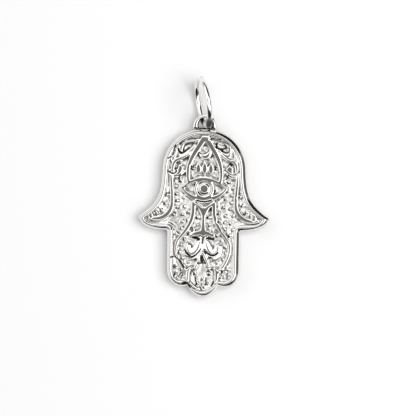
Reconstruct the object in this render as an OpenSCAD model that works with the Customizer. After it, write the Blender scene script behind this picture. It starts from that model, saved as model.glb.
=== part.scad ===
// Hamsa pendant with a cast relief face, a soldered eyelet and an open jump ring.
// It lies on its back: the middle of the back face is at the origin, +Y points to the eyelet,
// +X is right seen from the front, +Z is up.

/* [Hand] */
// Width over both thumb tips
hand_w = 18; // [14:0.5:28]
// Height from the middle fingertip to the top of the dome
hand_h = 22.7; // [18:0.5:34]
// Thickness at the crest of the rim
hand_t = 2.2; // [2:0.1:3]
// Thickness of the sunk ground between rim and relief
ground_t = 1.25; // [1:0.05:1.5]
// Width of the rounded rim
rim_w = 0.85; // [0.6:0.05:1.1]

/* [Relief] */
// Height of the ridges above the ground
relief_h = 0.5; // [0.3:0.05:0.65]
// Width of a plain ridge
ridge_w = 0.3; // [0.2:0.02:0.4]
// Diameter of a bead
bead_d = 0.72; // [0.5:0.02:0.8]
// Height of a bead above the ground
bead_rise = 0.32; // [0.2:0.02:0.36]
// Length of the eye from corner to corner
eye_l = 6.0; // [4:0.2:7]
// Outer diameter of the iris ring
iris_d = 2.6; // [1.8:0.1:3]
// Diameter of the pupil
pupil_d = 1.16; // [0.8:0.04:1.4]
// Outer diameter of the crescent
moon_d = 1.7; // [1.2:0.1:2]
// Turn of the relief on the plate, clockwise from the front
relief_turn = 0.8; // [-2:0.1:2]

/* [Eyelet] */
// Outer diameter of the eyelet
eyelet_d = 3.26; // [3:0.02:4]
// Diameter of its hole
hole_d = 1.8; // [1.6:0.02:2]
// Width of the metal between the hole and the eyelet's top
eyelet_top = 0.45; // [0.4:0.01:0.55]
// Thickness of the eyelet, front to back
eyelet_t = 0.6; // [0.5:0.05:0.7]
// Shift of the eyelet to the right of the middle axis
eyelet_side = 0.1; // [-0.3:0.05:0.3]
// Height of the solder foot above the edge of the hand
foot_h = 0.22; // [0.15:0.01:0.35]

/* [Jump ring] */
// Outer diameter of the jump ring
ring_d = 7.15; // [6.4:0.1:9]
// Diameter of its wire
ring_wire = 0.82; // [0.6:0.02:0.9]
// Gap between the two butted ends
ring_slit = 0.05; // [0.03:0.01:0.1]
// Lean of the ring to the right, from upright
ring_lean = 24; // [10:1:35]
// Turn of the ring about the vertical
ring_turn = 10.5; // [0:0.5:15]
// Clearance between the jump ring and the eyelet
ring_gap = 0.1; // [0.06:0.01:0.16]

/* [Hidden] */
eps = 0.01;
half_w = hand_w / 2;
top_y = hand_h / 2;

// Outline of the right half from the dome's top to the middle fingertip, as shares of half_w from
// the middle axis and of hand_h from that fingertip: [x, y, in-handle x, y, out-handle x, y, inset angle, inset share of rim_w, steps]
OUTLINE = [
    [0.000, 1.000, 0.000, 0.000, 0.322, 0.000, 270, 1.00, 0],
    [0.636, 0.762, -0.017, 0.154, 0.014, -0.154, 180, 1.00, 14],
    [0.978, 0.483, -0.278, 0.073, 0.028, -0.007, 207, 1.09, 12],
    [0.986, 0.459, 0.021, 0.008, -0.050, -0.042, 177, 1.06, 3],
    [0.583, 0.397, 0.228, 0.000, -0.020, 0.000, 90, 1.00, 10],
    [0.552, 0.384, 0.000, 0.0075, 0.000, -0.066, 180, 1.00, 4],
    [0.550, 0.159, 0.000, 0.066, -0.002, -0.055, 180, 1.00, 3],
    [0.328, 0.060, 0.128, 0.001, -0.039, 0.000, 90, 1.00, 8],
    [0.236, 0.066, 0.026, -0.0035, -0.044, -0.034, 86, 0.98, 3],
    [0.000, 0.000, 0.106, 0.000, 0.000, 0.000, 90, 1.00, 7]];

// Section of the rim from the back edge over the crest: [share of rim_w, share of hand_t]
RIM = [
    [0.10, 0.02],
    [0.00, 0.10],
    [0.05, 0.70],
    [0.15, 0.88],
    [0.34, 0.98],
    [0.56, 1.00],
    [0.76, 0.95],
    [0.92, 0.82]];
rim_seat = 0.14;   // share of rim_w at which the back plate ends, under the rim
rim_root = 0.30;   // share of rim_w of the rim's hidden foot inside the plate
sink = 0.2;        // how deep relief and rim reach into the plate

// Ridges of the right half, each also mirrored, in the same shares:
// [start x, y, handle x, y, handle x, y, end x, y, width at start, middle, end in ridge_w]
RIDGES = [
    // pointed arch over the eye
    [0.020, 0.950, 0.110, 0.875, 0.300, 0.815, 0.248, 0.690, 2.2, 1.0, 0.8],
    // line along the dome, and the leaf under it
    [0.060, 0.938, 0.200, 0.922, 0.400, 0.950, 0.375, 0.850, 0.8, 0.9, 1.1],
    [0.170, 0.900, 0.190, 0.870, 0.290, 0.850, 0.372, 0.843, 0.7, 1.9, 1.2],
    // hooked scroll
    [0.250, 0.852, 0.360, 0.812, 0.485, 0.830, 0.495, 0.765, 0.6, 1.2, 1.0],
    [0.495, 0.765, 0.505, 0.722, 0.390, 0.715, 0.385, 0.764, 1.0, 1.1, 2.6],
    // line below the scroll
    [0.320, 0.748, 0.390, 0.708, 0.490, 0.698, 0.560, 0.752, 0.6, 0.9, 0.7],
    // two leaves beside the dome
    [0.405, 0.898, 0.430, 0.885, 0.455, 0.872, 0.468, 0.850, 0.4, 1.5, 0.4],
    [0.455, 0.855, 0.480, 0.845, 0.500, 0.830, 0.510, 0.808, 0.4, 1.5, 0.4],
    // line between palm and thumb
    [0.522, 0.735, 0.505, 0.680, 0.490, 0.620, 0.490, 0.560, 0.7, 1.0, 1.1],
    [0.490, 0.560, 0.490, 0.485, 0.650, 0.445, 0.835, 0.462, 1.1, 1.6, 0.8],
    // long S from the eye to the fingers
    [0.160, 0.558, 0.145, 0.460, 0.220, 0.415, 0.385, 0.337, 1.1, 1.0, 0.8],
    [0.385, 0.337, 0.455, 0.290, 0.400, 0.215, 0.250, 0.148, 0.8, 0.8, 0.9],
    // arm of the spine under the eye
    [0.160, 0.558, 0.110, 0.550, 0.050, 0.535, 0.004, 0.500, 0.9, 1.1, 2.2],
    // broad volute with its end bud
    [0.045, 0.352, 0.050, 0.270, 0.190, 0.205, 0.240, 0.298, 1.2, 4.4, 2.6],
    // side of the small tent
    [0.004, 0.258, 0.040, 0.232, 0.075, 0.205, 0.108, 0.170, 1.0, 0.9, 0.8],
    // line between the fingers
    [0.185, 0.168, 0.232, 0.166, 0.225, 0.120, 0.222, 0.085, 0.8, 1.2, 1.5]];

// Ridges on the middle axis, in the same columns
MIDDLE = [
    [0, 0.520, 0, 0.480, 0, 0.430, 0, 0.378, 2.0, 1.3, 2.6],
    [-0.155, 0.368, -0.060, 0.386, 0.060, 0.386, 0.155, 0.368, 1.4, 1.9, 1.4]];

// Three drop-shaped petals under the crescent: [x, y, height in ridge_w]
PETALS = [[-0.097, 0.768, 4.8], [0, 0.771, 5.4], [0.097, 0.768, 4.8]];
// Right half of a petal from its tip: [share of petal_w, share of its height]
PETAL = [[0, 0.5], [0.35, 0.2], [0.5, -0.15], [0.35, -0.4], [0, -0.5]];
petal_w = 1.7 * ridge_w;

// Short rows of beads in the right half, each also mirrored: [first x, y, last x, y, count]
BEAD_ROWS = [
    [0.560, 0.602, 0.598, 0.552, 2],
    [0.655, 0.512, 0.795, 0.478, 3],
    [0.372, 0.690, 0.432, 0.655, 2],
    [0.417, 0.610, 0.403, 0.530, 3],
    [0.322, 0.590, 0.298, 0.537, 2],
    [0.240, 0.502, 0.250, 0.460, 2],
    [0.328, 0.488, 0.335, 0.408, 3],
    [0.455, 0.488, 0.410, 0.445, 2],
    [0.455, 0.407, 0.412, 0.372, 2],
    [0.088, 0.475, 0.095, 0.430, 2],
    [0.150, 0.402, 0.282, 0.338, 3],
    [0.332, 0.304, 0.352, 0.264, 2],
    [0.312, 0.229, 0.222, 0.206, 2],
    [0.318, 0.160, 0.400, 0.167, 2],
    [0.298, 0.119, 0.402, 0.121, 2],
    [0.185, 0.770, 0.185, 0.770, 1],
    [0.112, 0.136, 0.075, 0.079, 2]];

// Beads on the middle axis: [y]
MIDDLE_BEADS = [0.108, 0.050];

eye_y = 0.145 * hand_h;        // the eye over the middle of the hand
lid_top = 0.235 * eye_l;       // rise of the upper lid over the eye's middle
lid_low = 0.27 * eye_l;        // drop of the lower lid
moon_y = 0.353 * hand_h;
moon_inner = 0.92 * moon_d;    // diameter of the crescent's inner circle
moon_bite = 0.40 * moon_d;     // how far that circle is moved up
iris_band = 0.75 * ridge_w;

eyelet_rise = 0.14;            // the eyelet's middle over the top of its solder foot
eyelet_seat = 0.2;             // reach of its ring into the foot
eyelet_y = top_y + foot_h + eyelet_rise;
eyelet_proud = 0.1;            // how far its front stands over the rim's crest
eyelet_z = hand_t + eyelet_proud - eyelet_t / 2;
hole_y = eyelet_d / 2 - eyelet_top - hole_d / 2;   // place of the hole over the eyelet's middle
hole_edge = 0.12;              // rounding of the hole's two edges
foot_w = 0.9 * eyelet_d;
foot_in = 0.45;                // reach of the solder foot into the rim
foot_drop = 0.35;              // and below the eyelet's back

ring_r = (ring_d - ring_wire) / 2;
ring_z = ring_r * cos(ring_lean) + ring_wire / 2;
ring_side = 8;                 // degrees from the eyelet's top to where the ring bears on it
slit_at = 112;                 // place of the butt joint along the ring

// Where the ring bears on the eyelet's top, and its centre from there, inside its own plane
bear_r = (eyelet_d - eyelet_top) / 2;
bear = [
    eyelet_side - bear_r * sin(ring_side),
    eyelet_y + bear_r * cos(ring_side),
    eyelet_z];
ring_in = ring_r - ring_wire / 2 - eyelet_t / 2 - ring_gap;
ring_up = (ring_z - eyelet_z) / cos(ring_lean);
ring_out = sqrt(ring_in * ring_in - ring_up * ring_up);
ring_c = bear
    + ring_out * [-sin(ring_turn), cos(ring_turn), 0]
    + ring_up * [cos(ring_turn) * sin(ring_lean), sin(ring_turn) * sin(ring_lean), cos(ring_lean)];

function share(x, y) = [x * half_w, y * hand_h];
function at(x, y) = share(x, y - 0.5);
function bezier(a, b, c, d, t) =
    pow(1 - t, 3) * a + 3 * t * pow(1 - t, 2) * b + 3 * t * t * (1 - t) * c + pow(t, 3) * d;

// The outline moved in by a share of the rim, between two rows of OUTLINE
function inset(row, s) = at(row[0], row[1]) + s * rim_w * row[7] * [cos(row[6]), sin(row[6])];
function stretch(a, b, s) =
    norm(inset(b, s) - inset(a, s)) / norm(inset(b, 0) - inset(a, 0));
function span(a, b, s) = [
    for (i = [1 : b[8]])
        bezier(
            inset(a, s),
            inset(a, s) + stretch(a, b, s) * share(a[4], a[5]),
            inset(b, s) + stretch(a, b, s) * share(b[2], b[3]),
            inset(b, s),
            i / b[8])];
function right_side(s) = [for (k = [1 : len(OUTLINE) - 1]) each span(OUTLINE[k - 1], OUTLINE[k], s)];
function flip(p) = [-p[0], p[1]];
function outline(s) =
    let (right = right_side(s), n = len(right))
    concat(
        [inset(OUTLINE[0], s)],
        right,
        [for (i = [n - 2 : -1 : 0]) flip(right[i])]);

// Width of a ridge at a share t of its length, from its three widths
function width_at(w, t) =
    ridge_w * (pow(1 - t, 2) * w[0] + 2 * t * (1 - t) * (2 * w[1] - (w[0] + w[2]) / 2) + t * t * w[2]);

ridge_steps = 10;

module stroke(row) {
    a = at(row[0], row[1]);
    b = at(row[2], row[3]);
    c = at(row[4], row[5]);
    d = at(row[6], row[7]);
    w = [row[8], row[9], row[10]];
    line = [for (i = [0 : ridge_steps]) bezier(a, b, c, d, i / ridge_steps)];
    way = [
        for (i = [0 : ridge_steps])
            let (p = line[max(i - 1, 0)], q = line[min(i + 1, ridge_steps)])
            (q - p) / norm(q - p)];
    left = [
        for (i = [0 : ridge_steps])
            line[i] + width_at(w, i / ridge_steps) / 2 * [-way[i][1], way[i][0]]];
    right = [
        for (i = [ridge_steps : -1 : 0])
            line[i] - width_at(w, i / ridge_steps) / 2 * [-way[i][1], way[i][0]]];
    polygon(concat(left, right));
    translate(a) circle(d = width_at(w, 0), $fn = 16);
    translate(d) circle(d = width_at(w, 1), $fn = 20);
}

// Lens between two arcs through the eye's corners, grown by a margin
module lens(top, low, margin) {
    half = eye_l / 2;
    top_r = (half * half + top * top) / (2 * top);
    low_r = (half * half + low * low) / (2 * low);
    intersection() {
        translate([0, top - top_r]) circle(r = top_r + margin, $fn = 96);
        translate([0, low_r - low]) circle(r = low_r + margin, $fn = 96);
    }
}

module eye() {
    translate([0, eye_y]) {
        difference() {
            lens(lid_top, lid_low, ridge_w / 2);
            lens(lid_top - ridge_w / 2, lid_low - ridge_w, -ridge_w / 2);
        }
        intersection() {
            lens(lid_top, lid_low, 0);
            difference() {
                circle(d = iris_d, $fn = 48);
                circle(d = iris_d - 2 * iris_band, $fn = 48);
            }
        }
        circle(d = pupil_d, $fn = 32);
    }
}

module crescent() {
    translate([0, moon_y]) difference() {
        circle(d = moon_d, $fn = 40);
        translate([0, moon_bite]) circle(d = moon_inner, $fn = 40);
    }
}

module petal(row) {
    right = [for (p = PETAL) [p[0] * petal_w, p[1] * row[2] * ridge_w]];
    left = [for (i = [len(right) - 2 : -1 : 1]) flip(right[i])];
    translate(at(row[0], row[1])) polygon(concat(right, left));
}

// The relief is turned a little about the middle of the plate
module askew() {
    rotate(-relief_turn) children();
}

// All flat-topped relief in one drawing, cut off under the rim
module relief_plan() {
    intersection() {
        polygon(outline(0.96));
        askew() {
            for (row = RIDGES) {
                stroke(row);
                mirror([1, 0]) stroke(row);
            }
            for (row = MIDDLE) stroke(row);
            for (row = PETALS) petal(row);
            eye();
            crescent();
        }
    }
}

module beads() {
    askew() {
        for (row = BEAD_ROWS, i = [0 : row[4] - 1], side = [-1, 1]) {
            t = row[4] > 1 ? i / (row[4] - 1) : 0;
            p = at(row[0] + t * (row[2] - row[0]), row[1] + t * (row[3] - row[1]));
            bead([side * p[0], p[1]]);
        }
        for (y = MIDDLE_BEADS) bead(at(0, y));
    }
}

module bead(p) {
    translate([p[0], p[1], ground_t + bead_rise - bead_d / 2]) sphere(d = bead_d, $fn = 24);
}

// Rounded rim: its section is carried round the outline
module rim() {
    section = concat(
        [for (p = RIM) [p[0], p[1] * hand_t]],
        [[1, ground_t - sink], [rim_root, RIM[0][1] * hand_t + sink]]);
    rings = [for (p = section) [for (q = outline(p[0])) [q[0], q[1], p[1]]]];
    n = len(rings[0]);
    m = len(section);
    polyhedron(
        points = [for (r = rings) each r],
        faces = [
            for (k = [0 : m - 1], i = [0 : n - 1])
                let (k2 = (k + 1) % m, i2 = (i + 1) % n)
                each [
                    [k * n + i, k * n + i2, k2 * n + i2],
                    [k * n + i, k2 * n + i2, k2 * n + i]]]);
}

// Flat ring with a rounded edge; its hole sits high, so its top is thinner than its sides
module eyelet_ring() {
    difference() {
        rotate_extrude($fn = 64) {
            translate([0, -eyelet_t / 2]) square([(eyelet_d - eyelet_t) / 2, eyelet_t]);
            translate([(eyelet_d - eyelet_t) / 2, 0]) circle(d = eyelet_t, $fn = 32);
        }
        translate([0, hole_y, 0]) {
            cylinder(d = hole_d, h = 2 * eyelet_t, center = true, $fn = 48);
            for (side = [0, 1])
                mirror([0, 0, side])
                    translate([0, 0, eyelet_t / 2 - hole_edge])
                        cylinder(
                            d1 = hole_d,
                            d2 = hole_d + 4 * hole_edge,
                            h = 2 * hole_edge,
                            $fn = 48);
        }
        // what would lie over the face of the hand
        translate([0, -eyelet_d - eyelet_rise - eyelet_seat, 0]) cube(2 * eyelet_d, center = true);
    }
}

module eyelet() {
    translate([eyelet_side, eyelet_y, eyelet_z]) eyelet_ring();
    translate([eyelet_side - foot_w / 2, top_y - foot_in, eyelet_z - eyelet_t / 2 - foot_drop])
        cube([foot_w, foot_in + foot_h, eyelet_t + foot_drop - eyelet_proud]);
}

module hamsa_hand() {
    color("silver") {
        linear_extrude(ground_t) polygon(outline(rim_seat));
        rim();
        translate([0, 0, ground_t - sink])
            linear_extrude(relief_h + sink) offset(delta = eps) relief_plan();
        beads();
        eyelet();
    }
}

module jump_ring() {
    slit_turn = 2 * asin(ring_slit / (2 * ring_r));
    color("gainsboro")
        translate(ring_c)
            rotate([0, 0, ring_turn])
                rotate([0, 90 + ring_lean, 0])
                    rotate([0, 0, slit_at + slit_turn / 2])
                        rotate_extrude(angle = 360 - slit_turn, $fn = 64)
                            translate([ring_r, 0]) circle(d = ring_wire, $fn = 24);
}

hamsa_hand();
jump_ring();
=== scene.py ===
# %% [markdown]
# # A cast silver hamsa pendant
# A small pendant lies on its back on a white table: a flat casting in the shape of a hand, with a
# rounded rim, raised scrolls, an eye and rows of tiny beads, and an open jump ring through its
# eyelet. The CAD model already holds every size and place. This lesson gives it the soft, polished
# surface that casting, soldering and buffing leave. All lengths are in millimetres until the last
# step of each piece, where they become metres.

# %% Load the measured frame
import math

import bmesh
import bpy
import numpy as np
from mathutils import Matrix, Vector
from mathutils.geometry import delaunay_2d_cdt


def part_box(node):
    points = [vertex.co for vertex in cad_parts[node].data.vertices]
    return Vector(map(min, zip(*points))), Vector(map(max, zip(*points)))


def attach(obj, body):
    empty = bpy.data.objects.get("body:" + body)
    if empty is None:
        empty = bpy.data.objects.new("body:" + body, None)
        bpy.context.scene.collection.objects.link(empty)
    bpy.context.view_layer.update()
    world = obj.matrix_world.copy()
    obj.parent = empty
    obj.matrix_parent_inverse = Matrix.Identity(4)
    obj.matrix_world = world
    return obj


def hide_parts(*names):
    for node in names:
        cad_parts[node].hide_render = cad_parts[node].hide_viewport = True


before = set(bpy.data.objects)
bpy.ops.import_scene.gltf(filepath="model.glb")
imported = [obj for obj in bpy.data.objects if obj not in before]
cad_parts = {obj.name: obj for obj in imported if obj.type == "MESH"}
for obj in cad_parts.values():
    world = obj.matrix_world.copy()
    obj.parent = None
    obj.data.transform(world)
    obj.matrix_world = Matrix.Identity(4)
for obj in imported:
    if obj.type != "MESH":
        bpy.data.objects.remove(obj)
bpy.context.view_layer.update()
MM = 0.001
hand_low, hand_high = (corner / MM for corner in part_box("hamsa_hand"))
ring_low, ring_high = (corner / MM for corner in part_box("jump_ring"))
print("hand", [round(v, 2) for v in (*hand_low, *hand_high)])
print("ring", [round(v, 2) for v in (*ring_low, *ring_high)])

# %% [markdown]
# ## The camera
# The photograph looks almost straight down, leaning a little to the right, from far away: the
# right side wall of the casting just shows and the left one does not. A long lens at 0.4 m gives
# the same flat perspective. The picture's middle is a little above and right of the casting's, so
# the camera is aimed there, and it is rolled by less than a degree.

# %% Camera at the photograph's angle
picture_px = 416
mm_per_px = 0.1357
camera_far = 400.0
hand_px = Vector((203.93, 213.02))
aim_at = Vector((0.0, 0.0, 1.5))
lean_x, lean_y = 0.199, 0.036
camera_roll = math.radians(0.7)

back_way = Vector((lean_x, lean_y, math.sqrt(1 - lean_x**2 - lean_y**2)))
up_way = (Vector((0, 1, 0)) - back_way.y * back_way).normalized()
right_way = up_way.cross(back_way)
right_way, up_way = (
    math.cos(camera_roll) * right_way + math.sin(camera_roll) * up_way,
    math.cos(camera_roll) * up_way - math.sin(camera_roll) * right_way,
)
middle = Vector((picture_px / 2, picture_px / 2))
off = (middle - hand_px) * mm_per_px
camera_at = aim_at + off.x * right_way - off.y * up_way + camera_far * back_way

lens_data = bpy.data.cameras.new("long_lens")
lens_data.sensor_width = 36.0
lens_data.lens = lens_data.sensor_width * camera_far / (picture_px * mm_per_px)
lens_data.clip_start = 0.05
camera = bpy.data.objects.new("long_lens", lens_data)
turn = Matrix((right_way, up_way, back_way)).transposed()
camera.matrix_world = Matrix.Translation(camera_at * MM) @ turn.to_4x4()
bpy.context.scene.collection.objects.link(camera)
bpy.context.scene.camera = camera
print("camera at", [round(v, 1) for v in camera_at], "lens", round(lens_data.lens, 1))

# %% [markdown]
# ## Formulas that build node trees
# Both Geometry Nodes and materials are full of small sums. Written out as nodes and links they are
# hard to read, so one class wraps an output socket and turns Python's operators into Math nodes.
# Every other node comes from its method `node`, which takes the kind, the settings and the values
# or links of the sockets.


# %% A socket that can be used in a sum
class Term:
    """An output of a node, used in a formula as a number is."""

    def __init__(self, tree, socket=None):
        self.tree = tree
        self.socket = socket

    def node(self, kind, settings=None, values=None, out=0):
        """Adds a node. Its settings are set first, then its sockets by name or number."""
        made = self.tree.nodes.new(kind)
        for name, value in (settings or {}).items():
            setattr(made, name, value)
        for key, value in (values or {}).items():
            if isinstance(value, Term):
                self.tree.links.new(value.socket, made.inputs[key])
            else:
                made.inputs[key].default_value = value
        return Term(self.tree, made.outputs[out])

    def out(self, name):
        return Term(self.tree, self.socket.node.outputs[name])

    def math(self, operation, *others):
        return self.node("ShaderNodeMath", {"operation": operation}, dict(enumerate((self, *others))))

    def __add__(self, other):
        return self.math("ADD", other)

    def __radd__(self, other):
        return self.math("ADD", other)

    def __sub__(self, other):
        return self.math("SUBTRACT", other)

    def __rsub__(self, other):
        return (self * -1.0).math("ADD", other)

    def __mul__(self, other):
        return self.math("MULTIPLY", other)

    def __rmul__(self, other):
        return self.math("MULTIPLY", other)

    def __truediv__(self, other):
        return self.math("DIVIDE", other)

    def squared(self):
        return self.math("POWER", 2.0)

    def ramp(self, low, high):
        """0 below low and 1 above high, with a soft step between."""
        return self.node(
            "ShaderNodeMapRange",
            {"interpolation_type": "SMOOTHSTEP"},
            {"Value": self, "From Min": low, "From Max": high},
        )

    def mix(self, first, second):
        """Colour between two colours, by this term."""
        return self.node(
            "ShaderNodeMix", {"data_type": "RGBA"}, {0: self, 6: first, 7: second}, out=2
        )

    def noise(self, scale, detail):
        """Smooth noise at this place, around 0.5."""
        return self.node(
            "ShaderNodeTexNoise", {}, {"Vector": self, "Scale": scale, "Detail": detail}
        )


# %% [markdown]
# ## Polished silver
# Silver is a bright, nearly neutral metal. After casting it is buffed, so the high places are
# mirror-bright, while the buff misses the ground between them: it keeps the satin skin of the
# casting, and its crevices collect dark tarnish. The pieces carry three numbers on their points for
# this: satin is 1 on the ground and 0 on what stands up, hollow is 1 in the crevices, and the painted
# shade is 1 where shade is painted on in near black: in the marks, beside each bead, in the rim's
# crease, in the seam under the eyelet, in its hole and beside the ring. The material reads them, so
# the finish follows the shape. A fine bump breaks the reflections up, more on satin metal than
# where the buff has been.

# %% Silver finishes
silver_colour = (0.88, 0.868, 0.852, 1.0)
tarnish_colour = (0.16, 0.15, 0.14, 1.0)
# Near black of the painted shade
painted_shade_colour = (0.035, 0.032, 0.03, 1.0)
# Hollow, painted shade and cloud between which tarnish, painted black and roughness set in
tarnish_range, black_range, rough_range = (0.25, 1.0), (0.10, 0.60), (0.45, 0.75)
# Patches in a metre and their detail
cloud_scale, cloud_detail = 900.0, 3.0
speck_scale, speck_detail = 5200.0, 2.0
# Tarnish without clouds, and how much the clouds change the tarnish and the roughness
clear_tarnish, cloud_tarnish, cloud_rough = 0.75, 0.5, 0.05
# Specks in the bump, its strength, and its share that polished metal keeps
speck_bump, bump_strength, polished_bump = 0.25, 0.35, 0.35
# Name, tarnish, roughness when polished and when satin, then detail, scale and depth of the ripples
FINISHES = (
    ("polished_casting", 0.8, 0.08, 0.28, 2.0, 1500.0, 0.000014),
    ("satin_back", 0.2, 0.24, 0.34, 3.0, 2600.0, 0.00003),
    ("polished_wire", 0.3, 0.07, 0.55, 1.0, 700.0, 0.000004),
)


def metal(name, tarnish, rough_polished, rough_satin, detail, scale, depth):
    """A metal that is bright on the crests, dull in the hollows and near black where shade is
    painted.
    """
    made = bpy.data.materials.new(name)
    made.use_nodes = True
    tree = made.node_tree
    shader = tree.nodes["Principled BSDF"]
    start = Term(tree)
    place = start.node("ShaderNodeTexCoord").out("Object")
    cloud = place.noise(cloud_scale, cloud_detail)
    speck = place.noise(speck_scale, speck_detail)
    ripple = place.noise(scale, detail)
    hollow, satin, soot = (
        start.node("ShaderNodeAttribute", {"attribute_name": mark}).out("Fac")
        for mark in ("hollow", "satin", "soot")
    )
    dark = hollow.ramp(*tarnish_range) * (clear_tarnish + cloud_tarnish * cloud) * tarnish
    # The painted shade goes over the silver and its tarnish as near black
    black = soot.ramp(*black_range)
    colour = black.mix(dark.mix(silver_colour, tarnish_colour), painted_shade_colour)
    spread = cloud_rough * cloud.ramp(*rough_range)
    rough = rough_polished + (rough_satin - rough_polished) * satin + spread
    waves = (ripple - 0.5 + speck_bump * speck) * (polished_bump + (1.0 - polished_bump) * satin)
    bump = start.node(
        "ShaderNodeBump", {}, {"Strength": bump_strength, "Distance": depth, "Height": waves}
    )
    tree.links.new(colour.socket, shader.inputs["Base Color"])
    tree.links.new(rough.socket, shader.inputs["Roughness"])
    tree.links.new(bump.socket, shader.inputs["Normal"])
    shader.inputs["Metallic"].default_value = 1.0
    return made


cast_silver, back_silver, wire_silver = (metal(*row) for row in FINISHES)
print("finishes", [m.name for m in (cast_silver, back_silver, wire_silver)])

# %% [markdown]
# ## The outline of the hand
# The hand is drawn as a chain of smooth spans from the top of the dome down the right side to the
# middle fingertip, and mirrored. Each row of the table is a place on the outline, and says how
# strongly the curve leaves and enters it. The rim needs the same outline again and again, moved
# inwards, so every row also says in which direction inwards is.

# %% Outline table and its spans
hand_w, hand_h, hand_t = 18.0, 22.7, 2.2
ground_t, rim_w = 1.25, 0.85
half_w, top_y = hand_w / 2, hand_h / 2

# x, y, in-handle x, y, out-handle x, y, inset angle, inset share of rim_w, steps
OUTLINE = (
    (0.000, 1.000, 0.000, 0.000, 0.322, 0.000, 270, 1.00, 0),
    (0.636, 0.762, -0.017, 0.154, 0.014, -0.154, 180, 1.00, 14),
    (0.978, 0.483, -0.278, 0.073, 0.028, -0.007, 207, 1.09, 12),
    (0.986, 0.459, 0.021, 0.008, -0.050, -0.042, 177, 1.06, 3),
    (0.583, 0.397, 0.228, 0.000, -0.020, 0.000, 90, 1.00, 10),
    (0.552, 0.384, 0.000, 0.0075, 0.000, -0.066, 180, 1.00, 4),
    (0.550, 0.159, 0.000, 0.066, -0.002, -0.055, 180, 1.00, 6),
    (0.328, 0.060, 0.128, 0.001, -0.039, 0.000, 90, 1.00, 8),
    (0.236, 0.066, 0.026, -0.0035, -0.044, -0.034, 86, 0.98, 3),
    (0.000, 0.000, 0.106, 0.000, 0.000, 0.000, 90, 1.00, 7),
)
outline_fine = 8


def share(x, y):
    return np.array((x * half_w, y * hand_h))


def at(x, y):
    return share(x, y - 0.5)


def bezier(a, b, c, d, t):
    t = np.asarray(t, float)[:, None]
    return (1 - t) ** 3 * a + 3 * t * (1 - t) ** 2 * b + 3 * t * t * (1 - t) * c + t**3 * d


def inset(row, s):
    angle = math.radians(row[6])
    return at(row[0], row[1]) + s * rim_w * row[7] * np.array((math.cos(angle), math.sin(angle)))


def outline(s):
    """Closed outline moved in by a share of the rim's width, clockwise from the dome's top."""
    side = [inset(OUTLINE[0], s)[None]]
    for a, b in zip(OUTLINE, OUTLINE[1:]):
        start, end = inset(a, s), inset(b, s)
        grow = np.linalg.norm(end - start) / np.linalg.norm(inset(b, 0) - inset(a, 0))
        steps = b[8] * outline_fine
        t = np.arange(1, steps + 1) / steps
        side.append(
            bezier(start, start + grow * share(a[4], a[5]), end + grow * share(b[2], b[3]), end, t)
        )
    right = np.concatenate(side)
    left = right[-2:0:-1] * (-1, 1)
    return np.concatenate((right, left))


around = len(outline(0))
print("outline points", around)

# %% [markdown]
# ## The blank: rim, plate and back
# Before any relief is raised, the hand is a dish: a flat back, a side wall, a rounded rim and a
# sunk ground. The rim could be a profile swept along the outline, but a sweep folds over itself at
# the thumb tips and between the fingers, so its rings are the inset outlines above. The ground is
# filled with an even net of equal triangles, about as fine as half a pixel of the picture, because
# a mirror shows every long or uneven triangle.

# %% Section of the rim
# Share of rim_w from the edge, share of hand_t, from the back edge over the crest to the ground
RIM = (
    (0.10, 0.000),
    (0.02, 0.030),
    (0.00, 0.090),
    (0.00, 0.400),
    (0.00, 0.800),
    (0.02, 0.845),
    (0.06, 0.867),
    (0.12, 0.892),
    (0.20, 0.923),
    (0.30, 0.958),
    (0.39, 0.984),
    (0.47, 0.998),
    (0.55, 1.000),
    (0.63, 0.998),
    (0.70, 0.992),
    (0.77, 0.980),
    (0.84, 0.955),
    (0.91, 0.900),
    (0.96, 0.800),
    (1.00, ground_t / hand_t + 0.02),
)
rim_fine = 3
relief_from = 0.70


def smooth_through(rows, fine):
    """Catmull-Rom curve through the rows, with so many steps between two of them."""
    rows = np.asarray(rows, float)
    padded = np.concatenate((rows[:1], rows, rows[-1:]))
    t = (np.arange(fine) / fine)[:, None]
    spans = []
    for a, b, c, d in zip(padded, padded[1:], padded[2:], padded[3:]):
        spans.append(
            b + 0.5 * t * (c - a + t * (2 * a - 5 * b + 4 * c - d + t * (3 * (b - c) + d - a)))
        )
    return np.concatenate((*spans, rows[-1:]))


section = np.concatenate((np.array(RIM[:3]), smooth_through(RIM[3:], rim_fine)))
print("rim rings", len(section))

# %% Net of even triangles inside the rim
net_step = 0.074
edge_clear = 0.55 * net_step
merge_under = 1e-7


def net_points(loop):
    """Points of an even triangular net inside a loop, clear of its edge by about half a step."""
    low, high = loop.min(0), loop.max(0)
    rows = np.arange(low[1], high[1], net_step * math.sqrt(3) / 2)
    points = []
    for k, y in enumerate(rows):
        xs = np.arange(low[0] + (k % 2) * net_step / 2, high[0], net_step)
        a, b = loop, np.roll(loop, -1, 0)
        crosses = (a[:, 1] > y) != (b[:, 1] > y)
        cut = a[crosses, 0] + (y - a[crosses, 1]) / (b[crosses, 1] - a[crosses, 1]) * (
            b[crosses, 0] - a[crosses, 0]
        )
        inside = (cut[None] > xs[:, None]).sum(1) % 2 == 1
        near = loop[np.abs(loop[:, 1] - y) < net_step]
        if len(near):
            gap = np.hypot(near[None, :, 0] - xs[:, None], near[None, :, 1] - y).min(1)
            inside &= gap > edge_clear
        points.append(np.stack((xs[inside], np.full(inside.sum(), y)), 1))
    return np.concatenate(points)


def ring_quads(count, sides, closed=False):
    """Quads from each ring of points to the next, and back to the first ring if closed."""
    quads = []
    for k in range(count if closed else count - 1):
        here, there = k * sides, (k + 1) % count * sides
        for i in range(sides):
            j = (i + 1) % sides
            quads.append((here + i, here + j, there + j, there + i))
    return quads


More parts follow.
